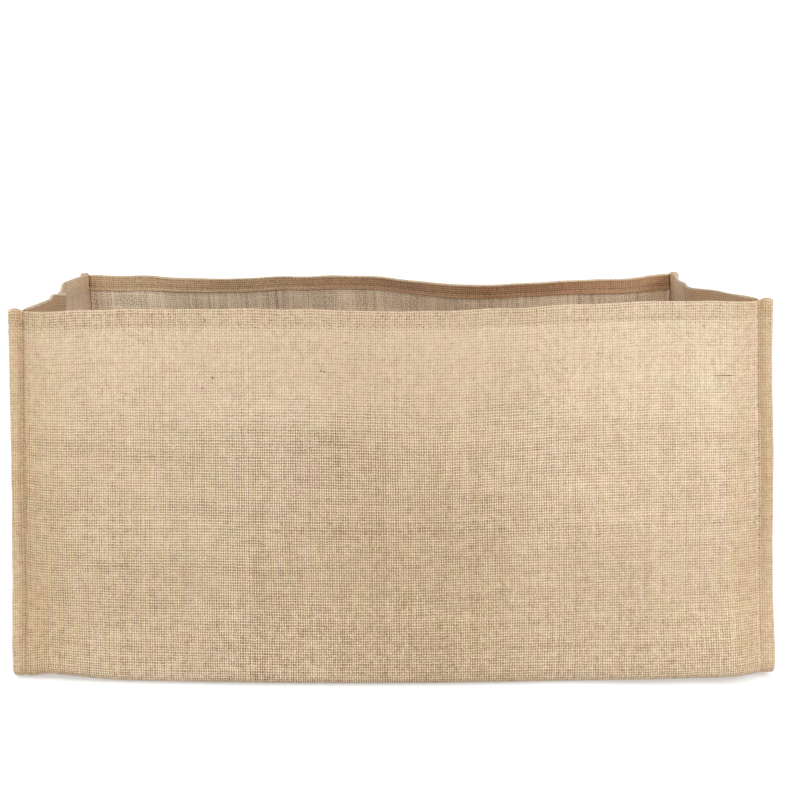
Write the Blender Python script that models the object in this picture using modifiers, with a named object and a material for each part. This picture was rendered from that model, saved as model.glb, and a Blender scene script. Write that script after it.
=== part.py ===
"""Jute planter bag: an open, empty, box-shaped bag of laminated jute cloth that stands by its own stiffness.

It is three cut pieces: one strip that is the front, the base and the back, and a square side at each end.
They are sewn wrong sides together, so each seam stands out as a narrow fin. The top edge is a turned hem.
Metres, +Z up. The base lies on z = 0 with its middle at the origin, and the front faces -Y.
"""

import bmesh
import bpy
import numpy as np

# Overall sizes, from seam to seam
BASE_WIDTH = 0.603
RIM_WIDTH = 0.586
HEIGHT = 0.302
BASE_BOW = 0.004
BACK_SWAY = -0.013

# Cloth, seams and hem
CLOTH = 0.0015
FOLDED = 0.0026
SEAM = 0.0105
HEM = 0.017
FOLD_RADIUS = 0.009
GAP = 0.0003

# The front and the back: which way each faces, how far it stands from the middle at the base and at the rim,
# how far it bows out between its seams, how far the seams tuck its ends in, how fast the rim's own waves die
# out below it, and how far its seam fins turn out of the wall's plane
WALL_COLUMNS = ("faces", "base", "rim", "base_bow", "rim_bow", "belly", "tuck", "fade", "fin_turn")
FRONT_WALL = dict(zip(WALL_COLUMNS, (-1, 0.1530, 0.1250, 0.0145, 0.014, 0.003, 0.0075, 1.0, np.radians(15))))
BACK_WALL = dict(zip(WALL_COLUMNS, (1, 0.1530, 0.1340, 0.0060, 0.000, 0.002, 0.0025, 1.5, np.radians(45))))
BOW_ROUNDNESS = 2.0
TUCK_ROUNDNESS = 16

# The crests and troughs of each rim: place runs from -1 at one seam to 1 at the other, out is how far the
# rim stands beyond the even wall, and height is the rim's own
RIM_COLUMNS = ("place", "out", "height")
FRONT_RIM = (
    (-1.00, 0.000, 0.2994),
    (-0.70, 0.000, 0.3019),
    (-0.35, 0.000, 0.3022),
    (0.05, 0.000, 0.3000),
    (0.75, 0.000, 0.3064),
    (1.00, 0.000, 0.3060),
)
BACK_RIM = (
    (-1.00, 0.000, 0.3056),
    (-0.45, -0.010, 0.3012),
    (-0.07, 0.000, 0.3034),
    (0.33, -0.049, 0.2986),
    (0.80, -0.011, 0.3000),
    (1.00, 0.000, 0.3040),
)
LEFT_RIM = (
    (-1.00, 0.000, 0.2994),
    (-0.45, -0.004, 0.3004),
    (-0.25, -0.001, 0.3018),
    (0.02, -0.004, 0.2990),
    (0.18, 0.006, 0.2990),
    (0.65, 0.014, 0.3028),
    (1.00, 0.000, 0.3056),
)
RIGHT_RIM = (
    (-1.00, 0.000, 0.3060),
    (-0.35, -0.002, 0.3028),
    (0.03, -0.0165, 0.3017),
    (0.49, -0.0065, 0.3014),
    (1.00, 0.000, 0.3040),
)
SIDE_BELLY = 0.005

# The colour and finish of natural jute
JUTE_COLOUR = (0.62, 0.49, 0.34, 1.0)
JUTE_ROUGHNESS = 0.9

# Where the meshes have their rows: how high up a wall, how far round the bottom fold and how far back.
# The first rows are the hem, then one just below its edge. The fins have their full turn from the settle
# rise up, and lie flat at the base.
HEM_ROWS = 3
HEM_STEP = 0.0025
HEM_RISES = 1 - np.array((0, HEM / 2, HEM, HEM + HEM_STEP)) / HEIGHT
RISES = np.concatenate((HEM_RISES, (0.86, 0.76, 0.65, 0.53, 0.41, 0.29, 0.17, 0.07)))
SETTLE_RISE = 0.41
FOLD_TURNS = np.radians((0.0, 22.5, 45.0, 67.5, 90.0))
DEPTHS = np.array((0.08, 0.18, 0.28, 0.35, 0.41, 0.46, 0.51, 0.56, 0.60, 0.66, 0.74, 0.83, 0.92))
STRIP_COLUMNS = 33
ROOT_WIDTH = 0.003
FIN_STEPS = np.array((0.0025, SEAM))


def mix(start, end, share):
    """The value that lies the given share of the way from start to end."""
    return start + (end - start) * share


def rim_value(table, name, place):
    """One column of a rim's table at any place, in soft waves that are level at each crest and trough."""
    places, values = (np.array([row[RIM_COLUMNS.index(key)] for row in table]) for key in ("place", name))
    before = np.clip(np.searchsorted(places, place, side="right") - 1, 0, len(places) - 2)
    share = np.clip((place - places[before]) / (places[before + 1] - places[before]), 0, 1)
    return mix(values[before], values[before + 1], share * share * (3 - 2 * share))


def half_width(height, depth):
    """Half of the bag's width at a height, and at a depth from 0 at the front to 1 at the back."""
    rise = height / HEIGHT
    bow = BASE_BOW * 4 * depth * (1 - depth) * (1 - rise)
    return mix(BASE_WIDTH, RIM_WIDTH, rise) / 2 + bow


def wall_rows(wall, rim, across):
    """Depth and height of a wall's outer face, rows from the rim down and on round the bottom fold.

    The wall leans from its base to its rim, bows out between its seams, and takes the rim's waves, which die
    out downwards. Round the fold it follows a quarter circle into the base.
    """
    top = rim_value(rim, "height", across)
    rise = np.concatenate((RISES, np.zeros(len(FOLD_TURNS))))[:, None]
    turn = np.concatenate((np.zeros(len(RISES)), FOLD_TURNS))[:, None]
    depth = mix(wall["base"], wall["rim"], rise)
    depth = depth + mix(wall["base_bow"], wall["rim_bow"], rise) * (1 - np.abs(across) ** BOW_ROUNDNESS)
    depth = depth + wall["tuck"] * (1 - np.abs(across) ** TUCK_ROUNDNESS)
    depth = depth + wall["belly"] * np.sin(np.pi * rise) * (1 - across ** 2)
    depth = depth + rim_value(rim, "out", across) * rise ** wall["fade"]
    depth = depth - FOLD_RADIUS * (1 - np.cos(turn))
    height = FOLD_RADIUS * (1 - np.sin(turn)) + (top - FOLD_RADIUS) * rise
    return wall["faces"] * depth, height


def strip_rows(across):
    """The strip's outer face at places across it: down the front, along the base and up the back."""
    front_y, front_z = wall_rows(FRONT_WALL, FRONT_RIM, across)
    back_y, back_z = wall_rows(BACK_WALL, BACK_RIM, across)
    base_y = mix(front_y[-1], back_y[-1], DEPTHS[:, None])
    y = np.concatenate((front_y, base_y, back_y[::-1]))
    z = np.concatenate((front_z, np.zeros_like(base_y), back_z[::-1]))
    depth = np.concatenate((np.zeros(len(front_y)), DEPTHS, np.ones(len(back_y))))[:, None]
    x = across * half_width(z, depth) + BACK_SWAY * depth * z / HEIGHT
    return np.stack((x, y, z), axis=-1)


def seam_frame(end):
    """The seam line at one end (-1 left, 1 right), the way its fin points and the way the fin's face looks.

    The fin lies flat on the floor along the base and turns out of the wall's plane up the corners.
    """
    root = strip_rows(np.array((float(end),)))[:, 0]
    round_fold = np.concatenate((np.zeros(len(RISES)), FOLD_TURNS))
    along_base = np.full(len(DEPTHS), np.pi / 2)
    facing = np.concatenate((round_fold, along_base, np.pi - round_fold[::-1]))
    settled = np.concatenate((np.minimum(RISES / SETTLE_RISE, 1), np.zeros(len(FOLD_TURNS))))
    front_turn = FRONT_WALL["fin_turn"] * settled
    back_turn = BACK_WALL["fin_turn"] * settled[::-1]
    turn = np.concatenate((front_turn, np.zeros(len(DEPTHS)), back_turn))[:, None]
    face = np.stack((np.zeros_like(facing), -np.cos(facing), -np.sin(facing)), axis=-1)
    side = np.array((end, 0.0, 0.0))
    fin = np.cos(turn) * side + np.sin(turn) * face
    look = np.cos(turn) * face - np.sin(turn) * side
    return root, fin, look


def sheet_mesh(points):
    """A grid of faces whose vertices lie on the given rows and columns of points."""
    rows, columns = points.shape[:2]
    bm = bmesh.new()
    bmesh.ops.create_grid(bm, x_segments=columns - 1, y_segments=rows - 1, size=1)
    for vert, point in zip(bm.verts, points.reshape(-1, 3)):
        vert.co = point
    return bm


def draw_out(bm, line, points):
    """Draw new cloth out from a line of vertices to a line of points, and return the new line."""
    edges = [bm.edges.get(pair) for pair in zip(line, line[1:])]
    drawn = bmesh.ops.extrude_edge_only(bm, edges=edges)["geom"]
    grown = {}
    for vert in drawn:
        if isinstance(vert, bmesh.types.BMVert):
            neighbours = [edge.other_vert(vert) for edge in vert.link_edges]
            source = next(neighbour for neighbour in neighbours if neighbour in line)
            grown[source] = vert
    new_line = [grown[vert] for vert in line]
    for vert, point in zip(new_line, points):
        vert.co = point
    return new_line


def cloth_object(name, collection, bm, folded):
    """A sheet turned inwards to its thickness, thicker where its vertices are in the hem or in a seam."""
    bm.normal_update()
    mesh = bpy.data.meshes.new(name)
    bm.to_mesh(mesh)
    bm.free()
    mesh.shade_smooth()
    mesh.materials.append(jute_material(name + "_jute"))
    cloth = bpy.data.objects.new(name, mesh)
    collection.objects.link(cloth)
    group = cloth.vertex_groups.new(name="folded")
    group.add([int(index) for index in folded], 1.0, "REPLACE")
    solidify = cloth.modifiers.new("thickness", "SOLIDIFY")
    solidify.thickness = FOLDED
    solidify.offset = -1
    solidify.use_even_offset = True
    solidify.vertex_group = group.name
    solidify.thickness_vertex_group = CLOTH / FOLDED
    return cloth


def jute_material(name):
    """Plain natural jute: a dry, matt, yellow-beige cloth."""
    material = bpy.data.materials.new(name)
    material.use_nodes = True
    shader = material.node_tree.nodes["Principled BSDF"]
    shader.inputs["Base Color"].default_value = JUTE_COLOUR
    shader.inputs["Roughness"].default_value = JUTE_ROUGHNESS
    shader.inputs["Metallic"].default_value = 0.0
    return material


def make_body_panel(collection):
    """The long strip: front, base and back in one, with a fin along each edge and a hem at each end."""
    inner = 1 - ROOT_WIDTH / (BASE_WIDTH / 2)
    across = np.concatenate(((-1.0,), np.linspace(-inner, inner, STRIP_COLUMNS), (1.0,)))
    fins = []
    for end, steps in ((-1, FIN_STEPS[::-1]), (1, FIN_STEPS)):
        root, fin, _ = seam_frame(end)
        fins.append(root[:, None] + steps[:, None] * fin[:, None])
    points = np.concatenate((fins[0], strip_rows(across), fins[1]), axis=1)[::-1]
    folded = np.zeros(points.shape[:2], dtype=bool)
    folded[:HEM_ROWS] = True
    folded[-HEM_ROWS:] = True
    folded[:, :len(FIN_STEPS) + 1] = True
    folded[:, -len(FIN_STEPS) - 1:] = True
    return cloth_object("body_panel", collection, sheet_mesh(points), np.flatnonzero(folded))


def side_patch(line, rim, end):
    """The outer face of one side, as a patch spanned between its seam line and its rim.

    Each point takes its share of the two corners, of the base and of the rim, and then the rim's folds,
    which die out downwards, and a slight belly.
    """
    corner = len(RISES) + len(FOLD_TURNS) // 2
    front = line[:corner + 1][::-1]
    back = line[-corner - 1:]
    base = line[corner:-corner]
    rise = ((front[:, 2] - front[0, 2]) / (front[-1, 2] - front[0, 2]))[:, None]
    depth = (base[:, 1] - base[0, 1]) / (base[-1, 1] - base[0, 1])
    place = 2 * depth - 1
    top = mix(front[-1], back[-1], depth[:, None])
    top[:, 2] = rim_value(rim, "height", place)
    up, over = rise[..., None], depth[None, :, None]
    patch = mix(front[:, None], back[:, None], over) + mix(base[None], top[None], up)
    patch -= mix(mix(front[0], back[0], over), mix(front[-1], back[-1], over), up)
    out = rim_value(rim, "out", place) * rise + SIDE_BELLY * np.sin(np.pi * rise) * (1 - place ** 2)
    patch[..., 0] += end * out
    return patch


def make_side_panel(name, end, rim, collection):
    """One square side: the patch, a fin drawn out along its three sewn edges, and a hem along its top."""
    root, fin, look = seam_frame(end)
    line = root - look * (2 * FOLDED + GAP)
    points = side_patch(line, rim, end)
    if end < 0:
        points, line, fin = points[:, ::-1], line[::-1], fin[::-1]
    bm = sheet_mesh(points)
    bm.verts.ensure_lookup_table()
    index = np.arange(points[..., 0].size).reshape(points.shape[:2])
    seam = np.concatenate((index[:0:-1, 0], index[0], index[1:, -1]))
    seam_verts = [bm.verts[int(number)] for number in seam]
    for step in FIN_STEPS:
        seam_verts = draw_out(bm, seam_verts, line + fin * step)
    bm.verts.index_update()
    fins = np.arange(index.size, len(bm.verts))
    folded = np.unique(np.concatenate((index[-HEM_ROWS:].ravel(), seam, fins)))
    return cloth_object(name, collection, bm, folded)


def main():
    for thing in list(bpy.data.objects):
        bpy.data.objects.remove(thing, do_unlink=True)
    collection = bpy.data.collections.new("jute_planter_bag")
    bpy.context.scene.collection.children.link(collection)
    make_body_panel(collection)
    make_side_panel("left_side_panel", -1, LEFT_RIM, collection)
    make_side_panel("right_side_panel", 1, RIGHT_RIM, collection)


main()
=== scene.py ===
"""Jute planter bag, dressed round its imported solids: an empty, open, box-shaped bag on a pale floor.

The sections follow the bag as it is sewn together: the long strip, the two sides, the sewing thread, then
the bark and fibres in the cloth, and last the floor, the lights and the camera. Everything is in metres in
the solids' own frame: +Z up, the base on z = 0 with its middle at the origin, and the front towards -Y.
"""

import bpy
import numpy as np
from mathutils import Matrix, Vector


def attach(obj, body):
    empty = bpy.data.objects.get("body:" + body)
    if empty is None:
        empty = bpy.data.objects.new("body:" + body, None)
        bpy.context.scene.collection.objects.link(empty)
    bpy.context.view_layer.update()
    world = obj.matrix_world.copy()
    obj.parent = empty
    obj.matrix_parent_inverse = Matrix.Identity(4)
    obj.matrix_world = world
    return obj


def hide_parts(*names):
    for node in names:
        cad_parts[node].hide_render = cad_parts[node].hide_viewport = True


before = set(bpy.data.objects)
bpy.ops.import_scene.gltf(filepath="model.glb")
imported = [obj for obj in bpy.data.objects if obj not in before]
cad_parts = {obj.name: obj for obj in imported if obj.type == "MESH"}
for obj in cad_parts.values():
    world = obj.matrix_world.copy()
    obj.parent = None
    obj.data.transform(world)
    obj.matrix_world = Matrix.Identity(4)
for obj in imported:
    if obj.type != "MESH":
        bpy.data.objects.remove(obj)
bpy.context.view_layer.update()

# The long strip: front, base and back in one cut of laminated jute cloth. Its two ends are turned inwards
# and sewn down as the hem, and its two long edges are folded and sewn to the sides as outside fins.
BASE_WIDTH = 0.6005
RIM_WIDTH = 0.586
HEIGHT = 0.302
BASE_DEPTH = 0.300
BASE_BOW = 0.004
BACK_SWAY = -0.013
CLOTH = 0.0015
FOLDED = 0.0026
HEM = 0.017
HEM_FADE = 0.045
FOLD_RADIUS = 0.009
BOW_ROUNDNESS = 2.0
TUCK_ROUNDNESS = 16
SETTLE_RISE = 0.41

# Each wall's own sizes: its depth at the base and the rim, how far it bows there and bellies at half height,
# how far it stands out from its seams, how fast the rim's waves fade, how far its fins turn, and its hem
FRONT_WALL = dict(
    faces=-1, base=0.1530, rim=0.1250, base_bow=0.0145, rim_bow=0.014, belly=0.003, tuck=0.0075, fade=1.0,
    fin_turn=np.radians(15), hem=HEM, hem_flare=0.0,
)
BACK_WALL = dict(
    faces=1, base=0.1530, rim=0.1340, base_bow=0.0060, rim_bow=0.0, belly=0.002, tuck=0.0025, fade=1.5,
    fin_turn=np.radians(45), hem=0.0128, hem_flare=0.0024,
)

# The waves of the rims and of the front's foot: at places across, from -1 at the left seam to 1 at the right,
# how far out the cloth stands and how high it is
OUT, TOP = 1, 2
FRONT_RIM = (
    (-1.00, 0.000, 0.2990),
    (-0.70, 0.000, 0.3019),
    (-0.35, 0.000, 0.3022),
    (0.05, 0.000, 0.3000),
    (0.75, 0.000, 0.3062),
    (1.00, 0.000, 0.3048),
)
BACK_RIM = (
    (-1.00, 0.000, 0.3056),
    (-0.50, -0.010, 0.3022),
    (-0.27, -0.005, 0.3040),
    (-0.10, 0.000, 0.3035),
    (0.33, -0.049, 0.2986),
    (0.80, -0.011, 0.3000),
    (1.00, 0.000, 0.3040),
)
FRONT_FOOT = (
    (-1.00, 0.0045, 0.0008),
    (-0.93, 0.0005, 0.0032),
    (-0.72, 0.0000, 0.0002),
    (0.40, 0.0000, 0.0002),
    (0.80, 0.0098, 0.0033),
    (0.92, 0.0150, 0.0046),
    (1.00, 0.0094, 0.0026),
)
FOOT_REACH = 0.05
FOOT_HEIGHT = 0.012

# How the sewing shapes the cloth: the stitch lines' places, their grooves and the crown of a fin's face, the
# right seam's share of both, how a fin's top bulges above the rim and how round its corner is, by how much
# its width wanders, and how wide it is from its top to its foot
HEM_STITCH = 0.0132
SEAM_STITCH = 0.0009
STITCH_DENT = 0.0003
SEAM_DENT = 0.0014
RIGHT_SEAM_SHARE = 0.35
DENT_WIDTH = 0.0018
FIN_CROWN = 0.0009
FIN_STAND = 0.0016
BULGE_START = 0.006
BULGE_WIDTH = 0.005
BULGE_FADE = 0.012
FIN_CORNER = 0.0042
CORNER_FADE = 0.004
FIN_WANDER = 0.00025
FIN_PLACES = (0.0, 0.15, 0.40, 0.70, 1.0)
FIN_WIDTHS = {
    ("front", -1): (0.0114, 0.0108, 0.0100, 0.0104, 0.0104),
    ("front", 1): (0.0117, 0.0108, 0.0122, 0.0118, 0.0114),
    ("back", -1): (0.0108, 0.0103, 0.0110, 0.0105, 0.0105),
    ("back", 1): (0.0110, 0.0106, 0.0103, 0.0109, 0.0105),
}

# Rows along the strip and columns across it, closest together at the hem, the folds and the seams. The hem's
# rows are in millimetres below the rim, and the first column of each fin is its line of stitches.
HEM_DROPS = (1.3, 2.6, 4.5, 7, 9.5, 11.2, 12.3, 13.2, 14.1, 15.3, 16.4, 17, 17.1, 17.7, 18.7, 21, 25)
FREE_DROPS = np.linspace(0.030, HEIGHT - FOLD_RADIUS - 0.004, 54)
WALL_DROPS = np.concatenate((np.array(HEM_DROPS) / 1000, FREE_DROPS))
HEM_ROW = int(np.argmin(np.abs(WALL_DROPS - HEM_STITCH)))
RISES = 1 - WALL_DROPS / (HEIGHT - FOLD_RADIUS)
FOLD_TURNS = np.linspace(0, np.pi / 2, 9)
DEPTHS = np.linspace(0, 1, 52)[1:-1]
WALL_ROWS = len(RISES)
FOLD_ROWS = len(FOLD_TURNS)
ROOT_STEPS = np.array((0.8, 1.7, 2.8, 4.5, 7.0, 10.5)) / 1000
FIN_STEPS = np.array((0.085, 0.18, 0.27, 0.40, 0.54, 0.68, 0.79, 0.875))
EDGE_STEPS = 6
SHARP_ANGLE = np.radians(48)
HALF_WIDTH = (BASE_WIDTH + RIM_WIDTH) / 4


def mix(start, end, share):
    """The value that lies the given share of the way from start to end."""
    return start + (end - start) * share


def rim_value(table, column, place):
    """One column of a rim's table at any place, in soft waves that are level at each crest and trough."""
    places, values = np.array(table).T[[0, column]]
    before = np.clip(np.searchsorted(places, place, side="right") - 1, 0, len(places) - 2)
    share = np.clip((place - places[before]) / (places[before + 1] - places[before]), 0, 1)
    return mix(values[before], values[before + 1], share * share * (3 - 2 * share))


def uneven(across, along, wave, seed):
    """Gentle unevenness from about -1 to 1: the sum of nine sine waves of about one length, at any angles."""
    draw = np.random.default_rng(seed)
    angle, start = draw.uniform(0, 2 * np.pi, (2, 9))
    length = wave * draw.uniform(0.7, 1.7, 9)
    way = across[..., None] * np.cos(angle) + along[..., None] * np.sin(angle)
    return np.sin(2 * np.pi * way / length + start).sum(axis=-1) / 4


def bell(value, width):
    """A soft bump: 1 where the value is nought, falling to about a third one width away."""
    return np.exp(-(value / width) ** 2)


def half_width(height, depth):
    """Half of the bag's width at a height, and at a depth from 0 at the front to 1 at the back."""
    rise = height / HEIGHT
    bow = BASE_BOW * 4 * depth * (1 - depth) * (1 - rise)
    return mix(BASE_WIDTH, RIM_WIDTH, rise) / 2 + bow


def hem_lift(wall, drops, across):
    """How far up each row lies from its even place, as a hem narrower than the front's draws the rows up."""
    narrower = HEM - wall["hem"] - wall["hem_flare"] * across ** 2
    return narrower * np.interp(drops, (0, HEM, HEM_FADE), (0, 1, 0))[:, None]


def wall_rows(wall, rim, across):
    """Depth and height of a wall's outer face, rows from the rim down and on round the bottom fold.

    The wall leans from its base to its rim, bows out between its seams, and takes the rim's waves, which die
    out downwards. Round the fold it follows a quarter circle into the base.
    """
    top = rim_value(rim, TOP, across)
    rise = RISES[:, None] + hem_lift(wall, WALL_DROPS, across) / (HEIGHT - FOLD_RADIUS)
    rise = np.concatenate((rise, np.zeros((FOLD_ROWS, len(across)))))
    turn = np.concatenate((np.zeros(WALL_ROWS), FOLD_TURNS))[:, None]
    depth = mix(wall["base"], wall["rim"], rise)
    depth = depth + mix(wall["base_bow"], wall["rim_bow"], rise) * (1 - np.abs(across) ** BOW_ROUNDNESS)
    depth = depth + wall["tuck"] * (1 - np.abs(across) ** TUCK_ROUNDNESS)
    depth = depth + wall["belly"] * np.sin(np.pi * rise) * (1 - across ** 2)
    depth = depth + rim_value(rim, OUT, across) * rise ** wall["fade"]
    depth = depth - FOLD_RADIUS * (1 - np.cos(turn))
    height = FOLD_RADIUS * (1 - np.sin(turn)) + (top - FOLD_RADIUS) * rise
    return wall["faces"] * depth, height


def strip_rows(across):
    """The strip's outer face at places across it: down the front, along the base and up the back.

    The front's foot is moved forward and up by its table, whole over its fold and dying out along the cloth.
    """
    front_y, front_z = wall_rows(FRONT_WALL, FRONT_RIM, across)
    back_y, back_z = wall_rows(BACK_WALL, BACK_RIM, across)
    base_y = mix(front_y[-1], back_y[-1], DEPTHS[:, None])
    y = np.concatenate((front_y, base_y, back_y[::-1]))
    z = np.concatenate((front_z, np.zeros_like(base_y), back_z[::-1]))
    depth = np.concatenate((np.zeros(len(front_y)), DEPTHS, np.ones(len(back_y))))[:, None]
    x = across * half_width(z, depth) + BACK_SWAY * depth * z / HEIGHT
    from_fold = TRAVEL - FOLD_TRAVEL[-1]
    above, under = np.minimum(from_fold + FOOT_HEIGHT, 0), np.maximum(from_fold, 0)
    near_foot = (bell(above, FOOT_REACH) * bell(under, FOOT_REACH))[:, None]
    y = y - rim_value(FRONT_FOOT, OUT, across) * near_foot
    z = z + rim_value(FRONT_FOOT, TOP, across) * near_foot
    return np.stack((x, y, z), axis=-1)


# Along the strip: which way each row faces, from 0 at the front through a quarter turn on the base to half a
# turn at the back, how far the row has come from the front rim, and how far it is from its own rim
HALF_FACING = np.concatenate((np.zeros(WALL_ROWS), FOLD_TURNS))
FACING = np.concatenate((HALF_FACING, np.full(len(DEPTHS), np.pi / 2), np.pi - HALF_FACING[::-1]))
FOLD_TRAVEL = HEIGHT - FOLD_RADIUS + FOLD_RADIUS * FOLD_TURNS
HALF_TRAVEL = np.concatenate((WALL_DROPS, FOLD_TRAVEL))
STRIP_LENGTH = 2 * FOLD_TRAVEL[-1] + BASE_DEPTH
BASE_TRAVEL = FOLD_TRAVEL[-1] + DEPTHS * BASE_DEPTH
TRAVEL = np.concatenate((HALF_TRAVEL, BASE_TRAVEL, STRIP_LENGTH - HALF_TRAVEL[::-1]))
DROP = np.minimum(TRAVEL, STRIP_LENGTH - TRAVEL)


def seam_frame(end):
    """The seam line at one end (-1 left, 1 right), the way its fin points and the way the fin's face looks.

    The fin lies flat on the floor along the base and turns out of the wall's plane up the corners.
    """
    root = strip_rows(np.array((float(end),)))[:, 0]
    settled = np.concatenate((np.minimum(RISES / SETTLE_RISE, 1), np.zeros(FOLD_ROWS)))
    front_turn = FRONT_WALL["fin_turn"] * settled
    back_turn = BACK_WALL["fin_turn"] * settled[::-1]
    turn = np.concatenate((front_turn, np.zeros(len(DEPTHS)), back_turn))[:, None]
    face = np.stack((np.zeros_like(FACING), -np.cos(FACING), -np.sin(FACING)), axis=-1)
    side = np.array((end, 0.0, 0.0))
    fin = np.cos(turn) * side + np.sin(turn) * face
    look = np.cos(turn) * face - np.sin(turn) * side
    return root, fin, look


def fin_widths(end):
    """How wide a fin is at each row along the strip, eased between the widths named for its two corners."""
    share = np.clip(DROP / HEIGHT, 0, 1)
    front, back = (np.interp(share, FIN_PLACES, FIN_WIDTHS[where, end]) for where in ("front", "back"))
    width = np.where(TRAVEL < STRIP_LENGTH / 2, front, back)
    return width + FIN_WANDER * uneven(TRAVEL, np.full_like(TRAVEL, float(end)), 0.035, 5)


def fin_top(drop, out, width):
    """How far a seam's top is raised: a bulge of doubled cloth, less a round corner at the fin's outer end.

    The bulge is whole from its start to the fin's end. Both die out down the seam, each over its own length.
    """
    bulge = FIN_STAND * bell(np.minimum(out - BULGE_START, 0), BULGE_WIDTH) * np.exp(-drop / BULGE_FADE)
    past = np.clip(out - (width - FIN_CORNER), 0, FIN_CORNER)
    corner = FIN_CORNER - np.sqrt(FIN_CORNER ** 2 - 0.97 * past ** 2)
    return bulge - corner * np.exp(-drop / CORNER_FADE)


def unit(ways):
    """The same ways, each brought to a length of one."""
    return ways / np.linalg.norm(ways, axis=-1, keepdims=True).clip(1e-12)


def closed(rows):
    """Rows of a grid that come round to their first column again."""
    return np.concatenate((rows, rows[:, :1]), axis=1)


def grid_quads(grid):
    """The four corners of each face of a grid, one step down its rows and one across its columns."""
    corners = (grid[:-1, :-1], grid[1:, :-1], grid[1:, 1:], grid[:-1, 1:])
    return np.stack(corners, axis=2).reshape(-1, 4, *grid.shape[2:])


def cloth_ways(points, quads):
    """The way through the cloth at each point: the mean of its faces' normals over its own square.

    It is longer where the faces part, so that a step along it takes the same thickness off both sides of a
    fold.
    """
    corner = points[quads]
    facing = unit(np.cross(corner[:, 2] - corner[:, 0], corner[:, 3] - corner[:, 1]))
    total = np.zeros_like(points)
    np.add.at(total, quads.ravel(), np.repeat(facing, 4, axis=0))
    mean = total / np.bincount(quads.ravel(), minlength=len(points))[:, None]
    return mean / (mean ** 2).sum(axis=1, keepdims=True)


def edge_ways(line, normals):
    """The way out of the cloth at each point of its closed edge: the edge's run crossed with the normal."""
    ahead = np.roll(line, -1, axis=0) - np.roll(line, 1, axis=0)
    return unit(np.cross(ahead, normals))


def in_scene(name, data):
    """A new object of this name that holds the data, at the origin."""
    made = bpy.data.objects.new(name, data)
    bpy.context.scene.collection.objects.link(made)
    return made


def cloth_shell(name, outer, inner, quads, border, maps, is_hem, finishes):
    """A closed sheet: an outer and an inner face joined round the edge by half a circle of rows.

    Each row of the edge lies at its angle on a half circle across the cloth's thickness, and the cloth map
    runs on over it by the arc's length. The outer face and the edge have the first finish, the inner face
    the second, and the turned hem on the inner face the third.
    """
    count = len(outer)
    turns = np.pi * np.arange(1, EDGE_STEPS) / EDGE_STEPS
    middle = (outer[border] + inner[border]) / 2
    across = (outer[border] - inner[border]) / 2
    radius = np.linalg.norm(across, axis=1, keepdims=True)
    out = edge_ways(middle, across / radius) * radius
    rings = middle + np.cos(turns)[:, None, None] * across + np.sin(turns)[:, None, None] * out
    numbers = 2 * count + np.arange((EDGE_STEPS - 1) * len(border)).reshape(EDGE_STEPS - 1, -1)
    levels = np.concatenate((border[None], numbers, border[None] + count))
    edge_quads = grid_quads(closed(levels))
    faces = np.concatenate((quads, quads[:, ::-1] + count, edge_quads))
    mesh = bpy.data.meshes.new(name)
    mesh.from_pydata(np.concatenate((outer, inner, rings.reshape(-1, 3))), [], faces)
    inner_kind = 1 + is_hem[quads].all(axis=1)
    kind = np.concatenate((np.zeros(len(quads)), inner_kind, np.zeros(len(edge_quads))))
    mesh.polygons.foreach_set("material_index", kind.astype(np.int32))
    arc = np.pi * radius * np.arange(EDGE_STEPS + 1)[:, None, None] / EDGE_STEPS
    for title, spread in maps.items():
        flat = np.concatenate((spread[border], np.zeros((len(border), 1))), axis=1)
        flat_out = edge_ways(flat, np.broadcast_to((0.0, 0.0, 1.0), flat.shape))[:, :2]
        turned = np.sign((flat_out * (spread[border] - spread.mean(axis=0))).sum(axis=1).mean())
        run = spread[border] + turned * flat_out * arc * (title == "cloth")
        corners = np.concatenate((spread[quads], spread[quads[:, ::-1]], grid_quads(closed(run))))
        mesh.uv_layers.new(name=title).data.foreach_set("uv", corners.ravel())
    mesh.shade_smooth()
    mesh.set_sharp_from_angle(angle=SHARP_ANGLE)
    for finish in finishes:
        mesh.materials.append(finish)
    return in_scene(name, mesh)


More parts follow.
